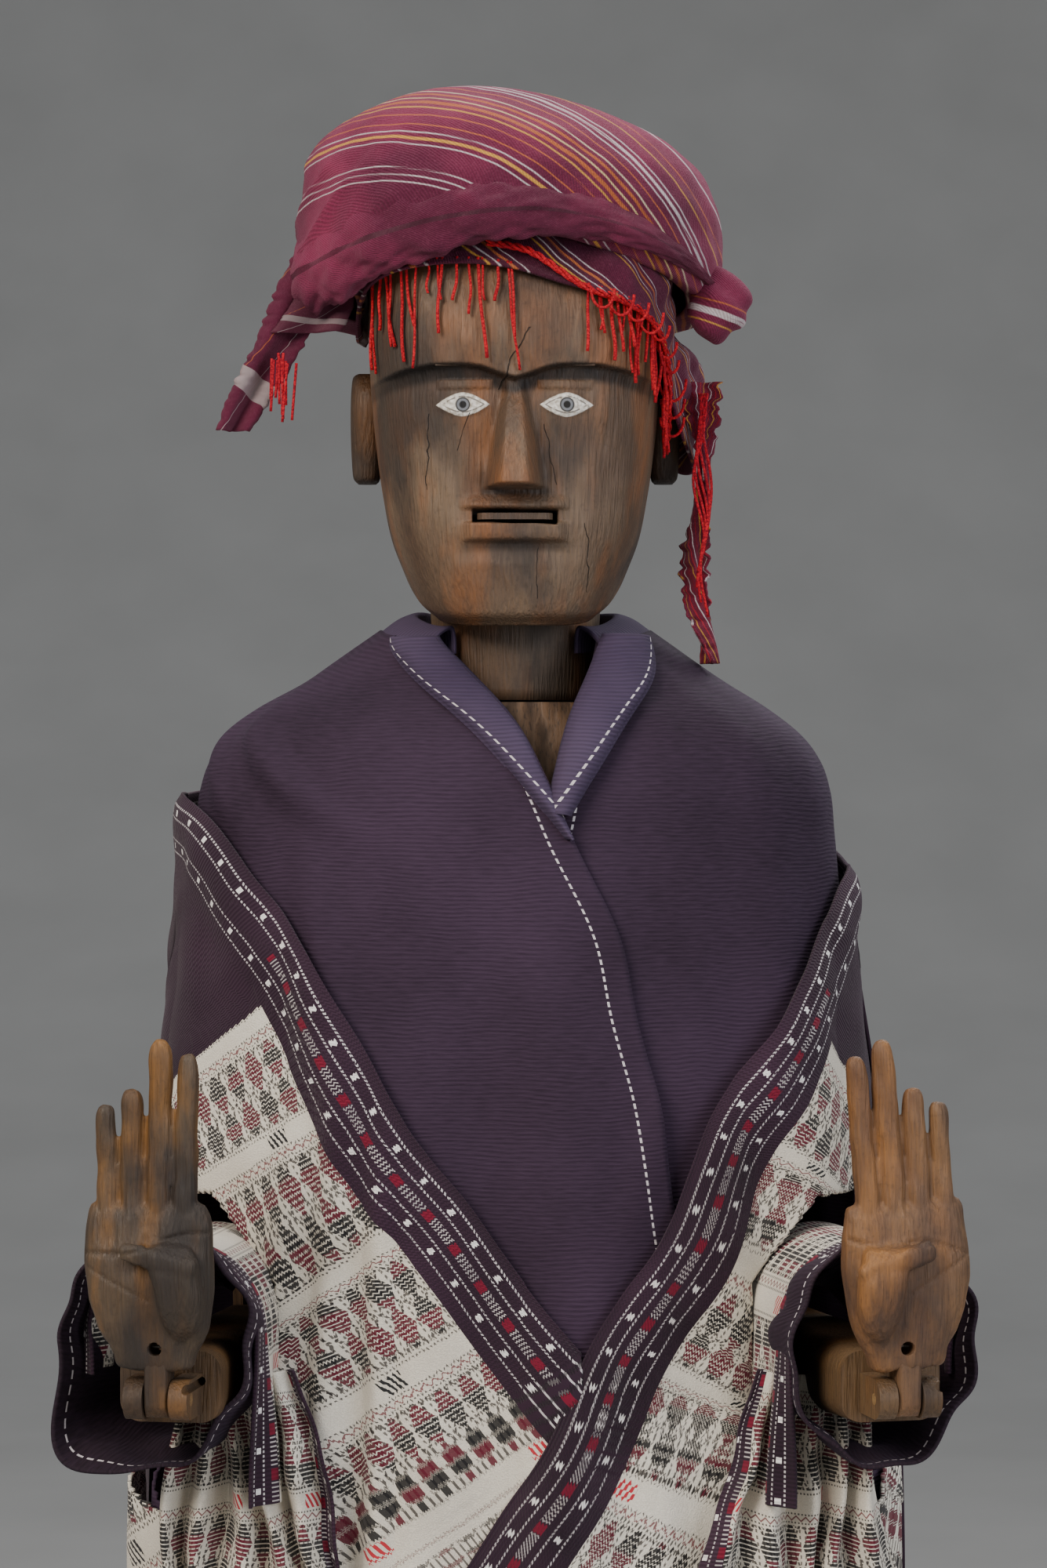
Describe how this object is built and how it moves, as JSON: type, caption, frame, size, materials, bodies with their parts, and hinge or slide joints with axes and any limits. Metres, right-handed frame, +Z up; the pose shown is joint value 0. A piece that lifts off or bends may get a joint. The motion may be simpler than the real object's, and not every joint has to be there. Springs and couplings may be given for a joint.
{
  "type": "string-worked wooden puppet",
  "caption": "Standing carved wooden puppet in robe, shawl and turban, with a turning head, dropping eyelids, tongue slip and jointed arms worked by hidden strings.",
  "frame": {"origin": "middle of the underside of the base board, on the floor", "axes": "+Z up, the puppet faces -Y, its left hand is on +X"},
  "size_m": [0.4603, 0.447, 1.3764],
  "materials": {
    "board_wood": "adzed, weathered",
    "trunk_wood": "adzed, dark",
    "pegs": "whittled",
    "head_wood": "carved, weathered patina",
    "hand_wood": "carved, handled patina",
    "staple_wire": "rusty wire",
    "turban_cloth": "handwoven twill, faded",
    "turban_stripe": "striped handwoven cloth",
    "robe_cloth": "ribbed dark cotton",
    "shawl_cloth": "handwoven supplementary weft",
    "sarong_cloth": "handwoven striped cotton"
  },
  "bodies": {
    "stand": {"base_board": "board_wood", "foot_right": "board_wood", "foot_left": "board_wood", "leg_right": "board_wood", "leg_left": "board_wood", "hip_block": "board_wood", "trunk_dowels": "pegs", "torso_trunk": "trunk_wood", "back_board": "board_wood", "back_board_pegs": "pegs", "string_guide_bar": "trunk_wood", "shoulder_axle": "pegs", "axle_pegs": "pegs", "robe_body": "robe_cloth", "robe_collar": "robe_cloth", "shawl_back": "shawl_cloth", "shawl_right": "shawl_cloth", "shawl_left": "shawl_cloth", "sarong": "sarong_cloth"},
    "head": {"head_block": "head_wood", "ear_right": "head_wood", "ear_left": "head_wood", "neck_peg": "pegs", "head_tiller": "pegs", "tiller_wedge": "pegs", "turban_wrap": "turban_cloth", "turban_crown": "turban_cloth", "turban_band": "turban_stripe", "turban_knot": "turban_cloth", "turban_tail_right": "turban_stripe", "turban_tail_left": "turban_cloth"},
    "eyelids": {"eyelid_right": "head_wood", "eyelid_left": "head_wood", "eyelid_lath": "pegs"},
    "tongue": {"tongue": "head_wood"},
    "upper_arm_right": {"upper_arm_right": "trunk_wood", "elbow_pin_right": "pegs"},
    "forearm_right": {"forearm_right": "hand_wood", "wrist_pin_right": "pegs", "sleeve_right": "robe_cloth"},
    "hand_right": {"hand_right": "hand_wood", "hand_staple_right": "staple_wire"},
    "upper_arm_left": {"upper_arm_left": "trunk_wood", "elbow_pin_left": "pegs"},
    "forearm_left": {"forearm_left": "hand_wood", "wrist_pin_left": "pegs", "sleeve_left": "robe_cloth"},
    "hand_left": {"hand_left": "hand_wood", "hand_staple_left": "staple_wire"}
  },
  "joints": [
    {"name": "head_turn", "type": "hinge", "parent": "stand", "child": "head", "pos_m": [0, 0, 1.0374], "axis": [0, 0, 1], "range_deg": [-40, 40]},
    {"name": "eyelids_drop", "type": "slide", "parent": "head", "child": "eyelids", "axis": [0, 0, -1], "range_m": [0, 0.014]},
    {"name": "tongue_slide", "type": "slide", "parent": "head", "child": "tongue", "axis": [0, -1, 0], "range_m": [0, 0.01]},
    {"name": "shoulder_right", "type": "hinge", "parent": "stand", "child": "upper_arm_right", "pos_m": [-0.138, 0, 0.965], "axis": [1, 0, 0], "range_deg": [-5, 10]},
    {"name": "elbow_right", "type": "hinge", "parent": "upper_arm_right", "child": "forearm_right", "pos_m": [-0.138, 0.02, 0.687], "axis": [0.9877, -0.1564, 0], "range_deg": [-5, 25]},
    {"name": "wrist_right", "type": "hinge", "parent": "forearm_right", "child": "hand_right", "pos_m": [-0.176, -0.22001, 0.687], "axis": [0.9877, -0.1564, 0], "range_deg": [-12, 50]},
    {"name": "shoulder_left", "type": "hinge", "parent": "stand", "child": "upper_arm_left", "pos_m": [0.138, 0, 0.965], "axis": [1, 0, 0], "range_deg": [-5, 10]},
    {"name": "elbow_left", "type": "hinge", "parent": "upper_arm_left", "child": "forearm_left", "pos_m": [0.138, 0.02, 0.687], "axis": [0.9731, 0.2305, 0], "range_deg": [-5, 25]},
    {"name": "wrist_left", "type": "hinge", "parent": "forearm_left", "child": "hand_left", "pos_m": [0.194, -0.21646, 0.687], "axis": [0.9731, 0.2305, 0], "range_deg": [-12, 50]}
  ]
}
